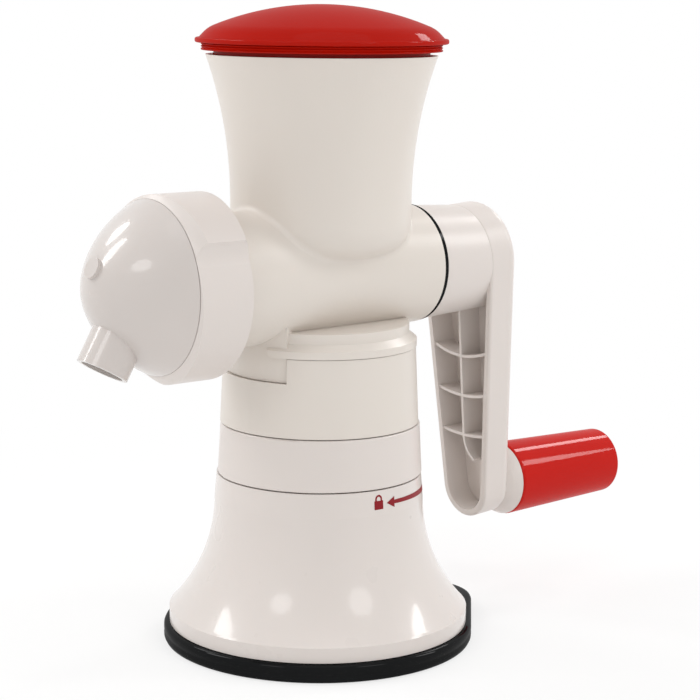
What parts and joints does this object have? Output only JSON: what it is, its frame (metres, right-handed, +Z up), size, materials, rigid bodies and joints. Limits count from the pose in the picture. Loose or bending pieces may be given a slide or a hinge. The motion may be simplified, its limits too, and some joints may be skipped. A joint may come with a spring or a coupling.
{
  "type": "hand crank meat grinder",
  "caption": "Table-top hand crank meat grinder on a suction foot: flared hopper with a red pusher lid, barrel with a domed spout cover, ribbed crank with a red turning grip.",
  "frame": {"origin": "middle of the suction pad where it meets the worktop", "axes": "+Z up, +X along the barrel from the spout cover to the crank, -Y towards the side with the lock sign"},
  "size_m": [0.3214, 0.149, 0.302],
  "materials": {
    "white_plastic": "satin warm white",
    "white_gloss": "glossy warm white",
    "red_plastic": "glossy red",
    "black_rubber": "matte",
    "steel": "ground",
    "nylon": "matte natural"
  },
  "bodies": {
    "base": {"suction_pad": "black_rubber", "base_shell": "white_plastic", "collar": "white_plastic", "collar_screws": "steel", "hopper_body": "white_plastic", "hopper_cup": "white_plastic", "rear_bush": "nylon", "seal_ring": "black_rubber", "grinding_plate": "steel", "nozzle_gasket": "black_rubber", "nozzle_dome": "white_gloss"},
    "lock": {"lock_ring": "white_plastic"},
    "lift": {"lift_stem": "steel", "cross_pin": "steel"},
    "crank": {"crank_arm": "white_plastic", "crank_screw": "steel", "drive_shaft": "steel", "auger": "nylon", "thrust_washer": "nylon", "knife": "steel", "grip_axle": "steel", "grip_clip": "steel"},
    "grip": {"grip_sleeve": "red_plastic", "grip_cap": "red_plastic"},
    "pusher": {"pusher_lid": "red_plastic", "pusher_stem": "red_plastic"},
    "clamp": {"retaining_ring": "white_gloss"}
  },
  "joints": [
    {"name": "crank_turn", "type": "hinge", "parent": "base", "child": "crank", "pos_m": [0.0486, 0, 0.1778], "axis": [1, 0, 0], "continuous": true},
    {"name": "grip_spin", "type": "hinge", "parent": "crank", "child": "grip", "pos_m": [0.1543, 0, 0.0604], "axis": [1, 0, 0], "continuous": true},
    {"name": "pusher_lift", "type": "slide", "parent": "base", "child": "pusher", "axis": [0, 0, 1], "range_m": [0, 0.075]},
    {"name": "lock_ring_turn", "type": "hinge", "parent": "base", "child": "lock", "pos_m": [0, 0, 0.0837], "axis": [0, 0, 1], "range_deg": [-70, 0]},
    {"name": "pad_lift", "type": "slide", "parent": "base", "child": "lift", "axis": [0, 0, 1], "range_m": [0, 0.0041]},
    {"name": "ring_turn", "type": "hinge", "parent": "base", "child": "clamp", "pos_m": [-0.0936, 0, 0.1778], "axis": [-1, 0, 0], "range_deg": [0, 40]}
  ],
  "couplings": [
    {"joint": "pad_lift", "follows": "lock_ring_turn", "m_per_rad": -0.003274}
  ]
}
